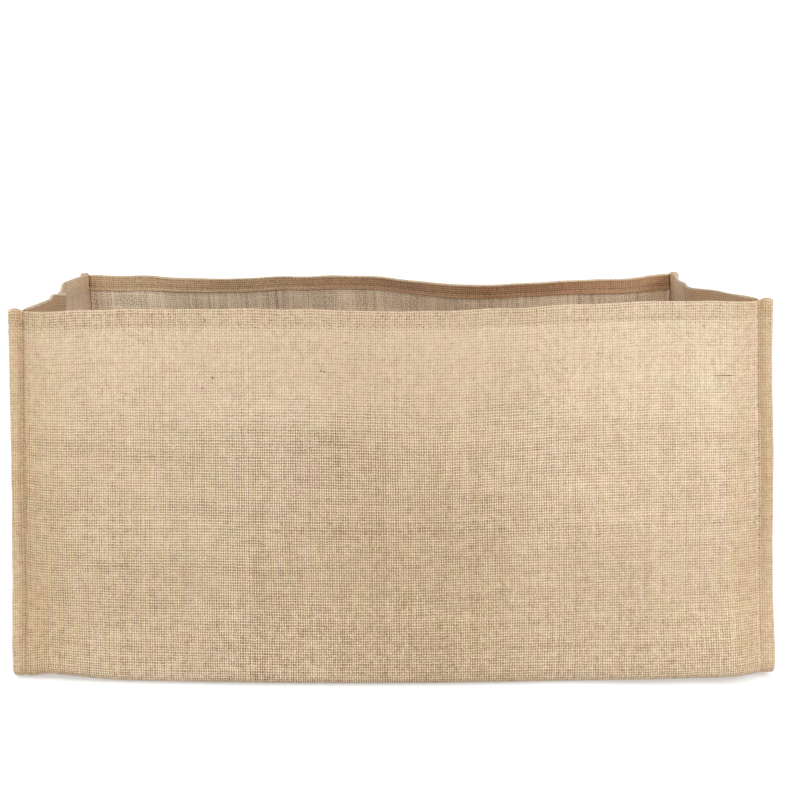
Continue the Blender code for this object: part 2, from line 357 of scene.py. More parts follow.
class Value:
    """One output of a material's node, so that sums on it are written as Python expressions."""

    def __init__(self, tree, socket=None):
        self.tree = tree
        self.socket = socket

    def node(self, kind, settings=None, inputs=None, output=0):
        """Add any type of node. Its settings are set first, then its sockets' values or links."""
        made = self.tree.nodes.new("ShaderNode" + kind)
        for name, setting in (settings or {}).items():
            setattr(made, name, setting)
        for name, value in (inputs or {}).items():
            if isinstance(value, Value):
                self.tree.links.new(value.socket, made.inputs[name])
            else:
                made.inputs[name].default_value = value
        return Value(self.tree, made.outputs[output]) if made.outputs else None

    def math(self, operation, *others):
        """One step of arithmetic on this value and the others."""
        return self.node("Math", {"operation": operation}, dict(enumerate((self, *others))))

    def __add__(self, other):
        return self.math("ADD", other)

    def __sub__(self, other):
        return self.math("SUBTRACT", other)

    def __rsub__(self, other):
        return self.node("Math", {"operation": "SUBTRACT"}, {0: other, 1: self})

    def __mul__(self, other):
        return self.math("MULTIPLY", other)

    def __truediv__(self, other):
        return self.math("DIVIDE", other)

    __radd__ = __add__
    __rmul__ = __mul__

    def ramp(self, low, high):
        """0 at low and 1 at high, eased at both ends."""
        inputs = {"Value": self, "From Min": low, "From Max": high}
        return self.node("MapRange", {"interpolation_type": "SMOOTHSTEP"}, inputs)

    def pick(self, first, second, blend="MIX"):
        """The first colour where this value is 0, and the second where it is 1."""
        settings = {"data_type": "RGBA", "blend_type": blend, "clamp_factor": True}
        return self.node("Mix", settings, {0: self, 6: first, 7: second}, 2)

    def stain(self, colour, tint):
        """The colour itself where this value is 0, and multiplied by the tint where it is 1."""
        return self.pick(colour, tint, "MULTIPLY")

    def tinted(self, colour, tint):
        """One colour multiplied by another all over."""
        settings = {"data_type": "RGBA", "blend_type": "MULTIPLY"}
        return self.node("Mix", settings, {0: 1.0, 6: colour, 7: tint}, 2)

    def choose(self, first, second):
        """The first number where this value is 0 and the second where it is 1."""
        return first + (second - first) * self

    def flat_map(self, name):
        """The two numbers of one of the piece's own flat maps."""
        place = self.node("UVMap", {"uv_map": name})
        return [self.node("SeparateXYZ", None, {0: place}, output) for output in (0, 1)]

    def noise(self, x, y, detail=1.0):
        """Soft random numbers from 0 to 1 about one unit apart, over a plane of two numbers."""
        place = self.node("CombineXYZ", None, {0: x, 1: y})
        settings = {"noise_dimensions": "2D"}
        return self.node("TexNoise", settings, {"Vector": place, "Scale": 1.0, "Detail": detail})

    def luck(self, number):
        """A random number from 0 to 1 for each whole number."""
        return self.node("TexWhiteNoise", {"noise_dimensions": "1D"}, {"W": number})


def new_finish(name):
    """An empty material and the value that its nodes start from."""
    finish = bpy.data.materials.new(name)
    finish.use_nodes = True
    finish.node_tree.nodes.clear()
    return finish, Value(finish.node_tree)


def show(start, colour, roughness, height, depth, **constants):
    """Feed a colour and a height in metres to the material's surface. Constants go on its own sockets."""
    bump = start.node("Bump", None, {"Height": height, "Distance": depth, "Strength": 1.0})
    inputs = {"Base Color": colour, "Roughness": roughness, "Normal": bump}
    inputs.update((socket.replace("_", " "), value) for socket, value in constants.items())
    start.node("OutputMaterial", None, {"Surface": start.node("BsdfPrincipled", None, inputs)})


# Plain weave: threads that run up the walls cross threads that run along them, over one and under one
WARP_PITCH = 0.00187
WEFT_PITCH = 0.00215


def weave(start, across, along, openness):
    """The heights of a plain weave on the cloth map, its threads' own luck, and how deep each hole looks.

    Each thread is a soft ridge, 1 less the square of the way from its middle. It rises and falls as a sine
    along its length, and the higher of the two threads shows. Threads wander, and thicken here and there,
    and are the thinner the more open the cloth is.
    """
    warp = across / WARP_PITCH + start.noise(across * 11, along * 5) * 1.8
    weft = along / WEFT_PITCH + start.noise(across * 5 + 40, along * 11) * 1.8
    warp = warp + start.noise(across * 90 + 5, along * 260) * 0.40
    weft = weft + start.noise(across * 260, along * 90 + 5) * 0.40
    warp_number = warp.math("FLOOR")
    weft_number = weft.math("FLOOR")
    warp_luck = start.luck(warp_number + 0.5)
    weft_luck = start.luck(weft_number + 900.5)
    warp_slub = start.noise(warp_number * 7.31, along * 140, 2.0)
    weft_slub = start.noise(across * 160, weft_number * 7.31 + 300, 2.0)
    warp_half = 0.235 - 0.135 * openness + 0.03 * warp_luck + 0.24 * warp_slub
    weft_half = 0.185 - 0.11 * openness + 0.03 * weft_luck + 0.24 * weft_slub
    warp_place = warp - warp_number - 0.42 - 0.16 * start.luck(warp_number + 77.5)
    weft_place = weft - weft_number - 0.42 - 0.16 * start.luck(weft_number + 577.5)
    warp_turn = 1 - 2 * warp_number.math("FLOORED_MODULO", 2.0)
    weft_turn = 1 - 2 * weft_number.math("FLOORED_MODULO", 2.0)
    warp_lift = warp_turn * (weft * np.pi).math("SINE")
    weft_lift = weft_turn * (warp * np.pi).math("SINE") * -1
    warp_height = 0.55 * (1 - (warp_place / warp_half).math("POWER", 2.0)) + 0.36 * warp_lift + 0.06
    weft_height = 0.55 * (1 - (weft_place / weft_half).math("POWER", 2.0)) + 0.36 * weft_lift
    height = warp_height.math("MAXIMUM", weft_height).math("MAXIMUM", -0.5)
    warp_shows = (warp_height - weft_height).ramp(-0.12, 0.12)
    luck = warp_shows.choose(weft_luck, warp_luck)
    slub = warp_shows.choose(weft_slub, warp_slub)
    hole_luck = start.luck((warp + 0.5).math("FLOOR") * 57.31 + (weft + 0.5).math("FLOOR") * 131.7)
    return height, warp_shows, luck, slub, hole_luck


# The length of a stitch, how wide its needle holes are, the threads' own colours, the painted shade in the
# weave's holes and on its threads' flanks, and the tints by which they are multiplied in one part of the
# cloth
# or another: among them painted shade beside the seams, on the fins, at their roots, in the needle holes and
# in the inner corners, and painted light on the fins' outer edges and feet
STITCH = 0.0052
NEEDLE = 0.0005
THREAD_PALE = (0.64, 0.535, 0.408, 1)
THREAD_WARM = (0.515, 0.403, 0.281, 1)
PAINTED_FLANK_SHADE = (0.80, 0.75, 0.67, 1)
PAINTED_HOLE_SHADE = (0.105, 0.044, 0.009, 1)
OPEN_TINT = (1.11, 1.10, 1.08, 1)
LOW_TINT = (0.945, 0.922, 0.882, 1)
BLUSH = (1.018, 0.986, 0.985, 1)
OLIVE = (0.984, 1.006, 0.968, 1)
WHITE = (1, 1, 1, 1)
LEFT_CAST = (0.995, 0.98, 0.95, 1)
RIGHT_CAST = (1.0, 1.0, 1.012, 1)
PAINTED_SEAM_SHADE_LEFT = (0.945, 0.925, 0.89, 1)
PAINTED_SEAM_SHADE_RIGHT = (0.895, 0.86, 0.81, 1)
PAINTED_FIN_SHADE_LEFT = (0.955, 0.925, 0.885, 1)
PAINTED_FIN_SHADE_RIGHT = (0.91, 0.85, 0.765, 1)
PAINTED_FIN_FOOT_LIGHT = (1.07, 1.11, 1.165, 1)
PAINTED_FIN_ROOT_SHADE = (0.84, 0.79, 0.72, 1)
PAINTED_FIN_EDGE_LIGHT = (0.95, 1.0, 1.12, 1)
PAINTED_ROOT_SHADE = (0.985, 0.965, 0.93, 1)
HEM_TINT = (0.98, 0.96, 0.935, 1)
PAINTED_HEM_HOLE_SHADE = (0.82, 0.77, 0.70, 1)
PAINTED_SEAM_HOLE_SHADE = (0.90, 0.86, 0.80, 1)
PAINTED_CREASE_SHADE = (0.32, 0.25, 0.21, 1)
PAINTED_CORNER_SHADE = (0.92, 0.86, 0.81, 1)

# Broad soft tints over stretches of the outer face, some lighter and some darker: over which stretch across
# each comes and over which it goes, over which stretch below the rim it comes, and its tint
BROAD_TINTS = (
    ((-0.296, -0.290), (-0.27, -0.25), (0.02, 0.06), (0.975, 0.965, 0.945, 1)),
    ((-0.29, -0.22), (-0.17, -0.08), (0.11, 0.18), (1.03, 1.05, 1.08, 1)),
    ((-0.10, 0.00), (0.04, 0.13), (-0.08, 0.12), (0.94, 0.92, 0.89, 1)),
    ((0.06, 0.16), (1.00, 1.10), (0.07, 0.14), (1.02, 1.02, 1.035, 1)),
    ((-0.06, 0.10), (1.00, 1.10), (0.15, 0.22), (0.945, 0.94, 0.93, 1)),
)


def needle_holes(start, line_place, away):
    """1 in each needle hole and 0 elsewhere. The holes lie one stitch apart along the line of sewing."""
    turn = (line_place / STITCH).math("FLOORED_MODULO", 1.0)
    near = turn.math("MINIMUM", 1 - turn) * STITCH
    distance = (near * near + away * away).math("SQRT")
    return 1 - distance.ramp(NEEDLE * 0.45, NEEDLE * 1.5)


def painted_corner_shade(colour, out):
    """The colour of an inner face with painted shade: dimmer towards the bag's seams and dark in the crease
    beside them.
    """
    dimmed = out.ramp(-0.03, -0.002).stain(colour, PAINTED_CORNER_SHADE)
    return out.ramp(-0.0004, 0.0002).stain(dimmed, PAINTED_CREASE_SHADE)


def apply_painted_shading(start, colour, across, painted_shading):
    """A colour with painted light and shade that change across the cloth: each change has its two places and
    its two tints.
    """
    for first_place, last_place, first_tint, last_tint in painted_shading:
        colour = start.tinted(colour, across.ramp(first_place, last_place).pick(first_tint, last_tint))
    return colour


def jute_finish(name, painted_shading=(), calm=0.0):
    """Natural jute, plain woven: pale and warm threads, dry and matt, with painted shade down their flanks
    and in the holes between them.

    The weave opens down the wall and towards its middle, and the painted shade in its holes is deeper there
    and in the hem, where the second layer lies behind them. The outer face has broad soft tints, painted
    shade beside the seams, on the fins and at their roots, and painted light on the fins' outer edges and
    feet. A turned hem takes the painted light and shade that it is given, and the calmer it is the less its
    holes show.
    """
    finish, start = new_finish(name)
    across, along = start.flat_map("cloth")
    hem_along, drop = start.flat_map("hem")
    seam_along, out = start.flat_map("seam")
    in_hem = 1 - drop.ramp(0.0125, 0.0165)
    right = across.ramp(0.1, 0.2) * (1 - across.ramp(1.0, 1.1))
    on_fin_by = out - 0.0024 * right * drop.ramp(0.07, 0.10)
    on_fin = on_fin_by.ramp(-0.002, 0.002)
    near_seam = out.ramp(-0.27, -0.04)
    slack = drop.ramp(0.02, 0.12) * (1 - 0.28 * near_seam - 0.45 * on_fin)
    bands = start.noise(across * 60, along * 7 + 9) + start.noise(across * 7 + 9, along * 60) - 1
    cluster = 0.3 * (start.noise(across * 14 + 9, along * 14) - 0.5) + 0.55 * bands
    cluster = cluster + start.noise(across * 150, along * 150) - 0.5
    openness = slack.math("MAXIMUM", (0.42 - 0.13 * right) * in_hem) + 0.9 * cluster - 0.12 * on_fin
    height, warp_shows, luck, slub, hole_luck = weave(start, across, along, openness)
    warp_fibre = start.noise(across * 2600, along * 500, 2.0)
    weft_fibre = start.noise(across * 500, along * 2600, 2.0)
    fibre = warp_shows.choose(weft_fibre, warp_fibre)
    tone = 0.2 * luck + 0.9 * (slub - 0.5) + 0.5 * (fibre - 0.5) + 0.4
    tone = tone - (1 - slack) * (0.40 - 0.25 * near_seam) * (1 - 0.6 * on_fin)
    thread = tone.ramp(0.0, 1.0).pick(THREAD_WARM, THREAD_PALE)
    thread = slack.stain(thread, OPEN_TINT)
    thread = drop.ramp(0.06, 0.24).stain(thread, LOW_TINT)
    # Painted shade in the weave's holes and on the threads' flanks: deeper where the cloth is open and in the
    # hem, less deep on the fins, beside the seams and towards the right, and the less the calmer the finish
    # is
    hole_shade_depth = (0.25 + 0.42 * slack + 0.12 * in_hem + 0.7 * hole_luck).math("MINIMUM", 1.0)
    beside = out.ramp(-0.035, -0.006) * (1 - on_fin) * (1 - 0.5 * right * out.ramp(-0.010, -0.002))
    closer = 0.13 * across.ramp(-0.15, 0.1) * (1 + drop.ramp(0.16, 0.24))
    hole_shade_depth = hole_shade_depth * (1 - calm) * (1 - 0.15 * on_fin - 0.2 * beside - closer)
    hole = hole_shade_depth.pick(start.tinted(thread, PAINTED_FLANK_SHADE), PAINTED_HOLE_SHADE)
    cloth = height.ramp(-0.42, 0.72).pick(hole, thread)
    patches = start.noise(across * 55 + 3, along * 55, 2.0).ramp(0.3, 0.7).pick(BLUSH, OLIVE)
    patched = start.tinted(cloth, patches)
    flat_foot = drop.ramp(0.14, 0.24) * across.ramp(0.0, 0.2)
    if painted_shading:
        shown = painted_corner_shade(apply_painted_shading(start, patched, across, painted_shading), out)
    else:
        cast = across.ramp(-0.28, -0.08).pick(LEFT_CAST, RIGHT_CAST)
        wall = in_hem.stain(start.tinted(patched, cast), HEM_TINT)
        for comes, goes, below, tint in BROAD_TINTS:
            share = across.ramp(*comes) * (1 - across.ramp(*goes)) * drop.ramp(*below)
            wall = share.stain(wall, tint)
        # Painted shade on the wall beside the seams, deeper on the right
        wall = beside.stain(wall, right.pick(PAINTED_SEAM_SHADE_LEFT, PAINTED_SEAM_SHADE_RIGHT))
        # Painted shade on the fins, deeper on the right fin and less towards the foot, with painted shade by
        # each fin's root and painted light at its outer edge
        fin_shade = drop.ramp(0.14, 0.26).stain(right.pick(PAINTED_FIN_SHADE_LEFT, PAINTED_FIN_SHADE_RIGHT), PAINTED_FIN_FOOT_LIGHT)
        off_root = (on_fin_by.ramp(0.0, 0.0115) + 0.7 * flat_foot).math("MINIMUM", 1.0)
        fin_light_and_shade = out.ramp(0.0085, 0.0125).stain(off_root.pick(PAINTED_FIN_ROOT_SHADE, WHITE), PAINTED_FIN_EDGE_LIGHT)
        fin = on_fin.stain(wall, start.tinted(fin_light_and_shade, fin_shade))
        # Painted shade in the crease along each fin's root, fading near the foot
        root = (1 - on_fin_by.math("ABSOLUTE").ramp(0.0004, 0.0036)) * (1 - 0.8 * flat_foot)
        shown = root.stain(fin, PAINTED_ROOT_SHADE)
    # Painted shade in the needle holes of the hem's and the seams' stitches
    hemmed = needle_holes(start, hem_along, drop - HEM_STITCH).stain(shown, PAINTED_HEM_HOLE_SHADE)
    pierced = needle_holes(start, seam_along, out - SEAM_STITCH).stain(hemmed, PAINTED_SEAM_HOLE_SHADE)
    relief = (height + 0.25 * fibre) * (1 - 0.6 * calm)
    show(start, pierced, 0.88, relief, 0.00035, Specular_IOR_Level=0.25, Sheen_Weight=0.05)
    return finish


def lining_finish(name, dull, pale, painted_shading):
    """The laminated inner face: a thin milky film over the jute, which prints through it in soft relief.

    Its painted light and shade in steps across fade to the plain film's from 6 to 16 cm below the rim, and
    painted shade darkens it towards the seams.
    """
    finish, start = new_finish(name)
    across, along = start.flat_map("cloth")
    drop, out = start.flat_map("hem")[1], start.flat_map("seam")[1]
    height, _, luck, *_ = weave(start, across, along, 0.3)
    streak = start.noise(across * 230, along * 9, 2.0)
    cloud = start.noise(across * 30, along * 30, 2.0)
    grain = start.noise(across * 900, along * 900)
    tone = 0.62 * height.ramp(-0.35, 0.45) + 0.7 * streak + 0.5 * cloud + 0.2 * luck + 1.3 * grain - 1.38
    plain = tone.ramp(0.0, 0.8).pick(dull, pale)
    film = drop.ramp(0.06, 0.16).pick(apply_painted_shading(start, plain, across, painted_shading), plain)
    colour = painted_corner_shade(film, out)
    show(start, colour, 0.48, height * 0.6, 0.00025, Specular_IOR_Level=0.5)
    return finish


# Inside, the strip's film and its turned hem carry painted light and shade, which change in steps from left
# to right
NATURAL_JUTE = jute_finish("natural_jute")
LINING_PAINTED_SHADING = (
    (-0.27, -0.19, (1.31, 1.37, 1.42, 1), (0.97, 0.955, 0.945, 1)),
    (-0.12, -0.10, WHITE, (0.89, 0.86, 0.84, 1)),
    (-0.05, -0.03, WHITE, (1.24, 1.25, 1.25, 1)),
    (0.235, 0.262, WHITE, (1.18, 1.22, 1.22, 1)),
)
TURNED_PAINTED_SHADING = (
    (-0.26, -0.15, (1.03, 0.93, 0.82, 1), (0.78, 0.66, 0.555, 1)),
    (-0.085, -0.06, WHITE, (0.91, 0.84, 0.83, 1)),
    (0.03, 0.06, WHITE, (1.12, 1.12, 1.10, 1)),
    (0.07, 0.11, WHITE, (0.83, 0.755, 0.71, 1)),
    (0.13, 0.16, WHITE, (1.05, 1.04, 1.03, 1)),
    (0.17, 0.26, WHITE, (1.20, 1.31, 1.40, 1)),
)
STRIP_FINISHES = (
    NATURAL_JUTE,
    lining_finish("milky_laminate", (0.21, 0.15, 0.10, 1), (0.66, 0.54, 0.40, 1), LINING_PAINTED_SHADING),
    jute_finish("turned_jute", TURNED_PAINTED_SHADING, calm=0.15),
)


def fin_dent(out, width):
    """How far a fin's face lies below flat cloth: a groove along the stitches and a slight crown beyond."""
    groove = SEAM_DENT * bell(out - SEAM_STITCH, DENT_WIDTH)
    crown = FIN_CROWN * np.sin(np.pi * np.clip((out - 0.003) / (width - 0.003), 0, 1))
    return groove - crown


def hem_dent(drop):
    """How far the hem's faces are pulled in along its line of stitches."""
    return STITCH_DENT * bell(drop - HEM_STITCH, DENT_WIDTH)


def creased(across, drop, table):
    """How deep a wall's creases are: each is a long soft bump that leans, and they add up."""
    total = np.zeros(np.broadcast(across, drop).shape)
    for place, level, width, length, lean, depth in table:
        aside = across - place - np.sin(lean) * (drop - level)
        total += depth * bell(aside, width) * bell(drop - level, length)
    return total


# What is known of each point of a cut piece: its place on the flat cut, how far it is below the rim, how far
# along and away from the seams, and how wide the fin is there. Then the cloth's broad waves, each with its
# height, length and seed, and over how far waves and creases die out beside the seams and above the base.
PLACE_KEYS = ("across", "along", "drop", "travel", "out", "width")
WAVES = ((0.0007, 0.11, 31), (0.00035, 0.045, 32))
CALM_REACH = 0.02
STAND_REACH = 0.03


def sewn_cloth(name, points, quads, border, place, creases, stand, lip_height, pressed, finishes):
    """One cut piece, pulled in along its stitches and creased, as a closed sheet of its true thickness.

    The outer face is the even surface less its dents, and the inner face lies one thickness below it, which
    is the doubled cloth's in the hem and the seams. The waves and creases die out at the seams and the base.
    The hem's free edge either curls off the cloth by some height or is pressed flat over some width.
    """
    across, along, drop, travel, out, width = (place[key].ravel() for key in PLACE_KEYS)
    points, creases, stand = points.reshape(-1, 3), creases.ravel(), stand.ravel()
    ways = cloth_ways(points, quads)
    wave = sum(rise * uneven(across, along, length, seed) for rise, length, seed in WAVES)
    shape = (wave + creases) * stand * np.clip(-out / CALM_REACH, 0, 1)
    on_right = (across > 0.2) & (across < 1)  # The strip's own right part, as the sides' places lie past 1
    seam_share = np.where(on_right, RIGHT_SEAM_SHARE, 1)
    outer_dent = shape + hem_dent(drop) + fin_dent(out, width) * np.clip(stand + 0.35, 0, 1) * seam_share
    hem_here = drop <= HEM + 0.00001
    lip = lip_height * np.clip((drop - HEM_STITCH) / (HEM - HEM_STITCH), 0, 1) * hem_here
    lip = lip * (1 + 0.8 * uneven(across, along, 0.02, 41))
    if pressed:
        flattened = np.clip((drop - HEM + pressed) / (2 * pressed + 0.0001), 0, 1) * (out < -0.0001)
    else:
        flattened = 1.0 - (hem_here | (out >= -0.0001))
    thickness = mix(FOLDED, CLOTH, flattened) + lip - hem_dent(drop)
    outer = points - ways * outer_dent[:, None]
    outer[:, 2] = outer[:, 2].clip(0)
    inner = points - ways * (shape + thickness)[:, None]
    maps = {
        "cloth": np.stack((across, along), axis=-1),
        "hem": np.stack((across, drop), axis=-1),
        "seam": np.stack((travel, out), axis=-1),
    }
    return cloth_shell(name, outer, inner, quads, border, maps, hem_here, finishes), outer, inner, ways


# The front's and the back's own soft troughs and ridges: where each lies across and below the rim, how wide
# and how long it is, how far it turns from upright, and how deep it is, with a ridge as a negative depth
FRONT_CREASES = (
    (-0.245, 0.110, 0.020, 0.090, 0.10, 0.0012),
    (-0.150, 0.150, 0.030, 0.100, -0.15, 0.0010),
    (-0.060, 0.190, 0.045, 0.080, 0.10, 0.0012),
    (0.070, 0.120, 0.035, 0.110, 0.12, 0.0010),
    (0.190, 0.170, 0.030, 0.080, -0.12, 0.0010),
    (0.262, 0.090, 0.016, 0.080, 0.05, 0.0010),
)
BACK_CREASES = (
    (-0.200, 0.120, 0.030, 0.110, 0.15, 0.0016),
    (0.010, 0.140, 0.040, 0.090, -0.20, 0.0014),
    (0.160, 0.110, 0.030, 0.120, 0.12, -0.0018),
    (0.235, 0.150, 0.022, 0.090, 0.10, 0.0014),
)

# How far the rim wanders and how far down that fades, how far the base's cloth rises, how far the hem's free
# edge curls up, and how many columns the wall has between those beside its seams
RIM_WANDER = 0.0005
RIM_FADE = 0.03
BASE_RISE = 0.0016
LIP_HEIGHT = 0.0003
MIDDLE_COLUMNS = 121

near_root = 1 - np.array((0.0, *ROOT_STEPS)) / HALF_WIDTH
middle = np.linspace(-near_root[-1], near_root[-1], MIDDLE_COLUMNS)[1:-1]
wall_across = np.concatenate((-near_root, middle, near_root[::-1]))
fin_points, fin_reach = {}, {}
for end in (-1, 1):
    root, fin, _ = seam_frame(end)
    fin_reach[end] = FIN_STEPS * fin_widths(end)[:, None]
    fin_points[end] = root[:, None] + fin_reach[end][..., None] * fin[:, None]
strip = np.concatenate((fin_points[-1][:, ::-1], strip_rows(wall_across), fin_points[1]), axis=1)
rows, columns = strip.shape[:2]
wall_out = np.broadcast_to(np.abs(wall_across) * HALF_WIDTH - HALF_WIDTH, (rows, len(wall_across)))
out = np.concatenate((fin_reach[-1][:, ::-1], wall_out, fin_reach[1]), axis=1)
side_sign = np.sign(np.concatenate((np.full(len(FIN_STEPS), -1), wall_across, np.full(len(FIN_STEPS), 1))))
travel = np.broadcast_to(TRAVEL[:, None], (rows, columns))
strip_place = {
    "across": side_sign * (HALF_WIDTH + out),
    "along": travel,
    "drop": np.broadcast_to(DROP[:, None], (rows, columns)),
    "travel": travel,
    "out": out,
    "width": np.where(side_sign < 0, fin_widths(-1)[:, None], fin_widths(1)[:, None]),
}
across, drop = strip_place["across"], strip_place["drop"]
lift = hem_lift(BACK_WALL, DROP, np.clip(across[0] / HALF_WIDTH, -1, 1))
strip_place["along"] = travel + lift * (travel > STRIP_LENGTH / 2)
strip[..., 2] += fin_top(drop, out, strip_place["width"])
strip[..., 2] += RIM_WANDER * uneven(across, travel * 0.2, 0.05, 11) * np.exp(-drop / RIM_FADE)
on_base = np.clip((drop - FOLD_TRAVEL[-1]) / CALM_REACH, 0, 1) * np.clip(-out / CALM_REACH, 0, 1)
strip[..., 2] += BASE_RISE * (1 + uneven(across, travel, 0.16, 21)).clip(0, 2) * on_base

index = np.arange(rows * columns).reshape(rows, columns)
border = np.concatenate((index[0, :0:-1], index[:-1, 0], index[-1, :-1], index[:0:-1, -1]))
front_creases = creased(across, drop, FRONT_CREASES)
back_creases = creased(across, drop, BACK_CREASES)
strip_creases = np.where(travel < STRIP_LENGTH / 2, front_creases, back_creases)
strip_stand = np.clip((HEIGHT - FOOT_HEIGHT - drop) / STAND_REACH, 0, 1)
body_panel, *strip_faces = sewn_cloth(
    "body_panel_cloth", strip, grid_quads(index), border, strip_place, strip_creases, strip_stand,
    LIP_HEIGHT, 0, STRIP_FINISHES,
)
strip_outer, strip_inner, strip_ways = (face.reshape(strip.shape) for face in strip_faces)
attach(body_panel, "root")
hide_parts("body_panel")

# The two sides: a square of the same cloth at each end, with its own turned hem along the top. Its three
# other edges are folded outwards and sewn to the strip's, so that each fin is two folded edges back to back.
GAP = 0.0003
SIDE_BELLY = 0.005
SIDE_FIN_WIDTH = 0.0105
SIDE_PRESS = 0.003
SIDE_FILM = (0.36, 0.25, 0.165, 1)
SIDE_FILM_PALE = (0.54, 0.385, 0.255, 1)
# Painted light and shade on each side's film and turned hem: a darker tint over the front part and a lighter
# one over the back part
SIDE_PAINTED_SHADING = {
    -1: ((0.85, 0.81, 0.755, 1), (1.06, 1.14, 1.21, 1)),
    1: ((0.99, 0.94, 0.92, 1), (1.19, 1.27, 1.35, 1)),
}
TURNED_SIDE_PAINTED_SHADING = {
    -1: ((0.83, 0.69, 0.575, 1), (1.03, 0.98, 0.93, 1)),
    1: ((0.97, 0.81, 0.71, 1), (1.17, 1.09, 1.03, 1)),
}
LEFT_RIM = (
    (-1.00, 0.000, 0.2990),
    (-0.45, -0.004, 0.2996),
    (-0.25, -0.001, 0.3010),
    (0.02, -0.004, 0.2982),
    (0.18, 0.006, 0.2978),
    (0.65, 0.014, 0.3014),
    (1.00, 0.000, 0.3056),
)
RIGHT_RIM = (
    (-1.00, 0.000, 0.3048),
    (-0.35, -0.002, 0.3024),
    (0.03, -0.0165, 0.3017),
    (0.49, -0.0065, 0.3014),
    (1.00, 0.000, 0.3040),
)
LEFT_CREASES = (
    (-0.060, 0.120, 0.022, 0.100, 0.15, 0.0012),
    (0.030, 0.090, 0.014, 0.080, -0.10, 0.0012),
    (0.085, 0.150, 0.024, 0.090, 0.10, -0.0010),
)
RIGHT_CREASES = (
    (-0.090, 0.150, 0.022, 0.090, -0.12, 0.0010),
    (0.000, 0.110, 0.026, 0.100, 0.10, 0.0014),
    (0.090, 0.120, 0.018, 0.110, 0.05, -0.0010),
)


def side_patch(line, rim, end):
    """The outer face of one side, as a patch spanned between its seam line and its rim.

    Each point takes its share of the two corners, of the base and of the rim, and then the rim's folds,
    which die out downwards, and a slight belly.
    """
    corner = WALL_ROWS + FOLD_ROWS // 2
    front = line[:corner + 1][::-1]
    back = line[-corner - 1:]
    base = line[corner:-corner]
    rise = ((front[:, 2] - front[0, 2]) / (front[-1, 2] - front[0, 2]))[:, None]
    depth = (base[:, 1] - base[0, 1]) / (base[-1, 1] - base[0, 1])
    place = 2 * depth - 1
    top = mix(front[-1], back[-1], depth[:, None])
    top[:, 2] = rim_value(rim, TOP, place)
    up, over = rise[..., None], depth[None, :, None]
    patch = mix(front[:, None], back[:, None], over) + mix(base[None], top[None], up)
    patch -= mix(mix(front[0], back[0], over), mix(front[-1], back[-1], over), up)
    out = rim_value(rim, OUT, place) * rise + SIDE_BELLY * np.sin(np.pi * rise) * (1 - place ** 2)
    patch[..., 0] += end * out
    return patch, rise, depth


def side_place(rise, depth, end, seam, reach):
    """Where each point of a side is on its flat cut, and how far it is from its rim and its seams.

    The fins' points follow the patch's own, each moved outwards from its place on the seam line.
    """
    corner = len(rise) - 1
    shape = np.broadcast(rise, depth).shape
    across = np.broadcast_to((depth - 0.5) * BASE_DEPTH, shape)
    drop = np.broadcast_to(DROP[:corner + 1][::-1, None], shape)
    to_seams = (depth * BASE_DEPTH, (1 - depth) * BASE_DEPTH, DROP[corner] - drop)
    ways_out = np.stack(np.broadcast_arrays(*to_seams))
    bottom = np.interp(depth, (0, 1), (TRAVEL[corner], STRIP_LENGTH - TRAVEL[corner]))
    along_seam = np.stack(np.broadcast_arrays(drop, STRIP_LENGTH - drop, bottom[None]))
    travel = np.take_along_axis(along_seam, ways_out.argmin(axis=0)[None], axis=0)[0]
    patch_parts = (across, drop, drop, travel, -ways_out.min(axis=0), np.full(shape, SIDE_FIN_WIDTH))
    fin_across = across.ravel()[seam][:, None] - reach * np.cos(FACING)[:, None]
    fin_along = drop.ravel()[seam][:, None] + reach * np.sin(FACING)[:, None]
    by_row = [np.broadcast_to(values[:, None], reach.shape) for values in (DROP, TRAVEL, fin_widths(end))]
    fin_parts = (fin_across, fin_along, *by_row[:2], reach, by_row[2])
    joined = (np.concatenate((patch.ravel(), fin.ravel())) for patch, fin in zip(patch_parts, fin_parts))
    return dict(zip(PLACE_KEYS, joined))


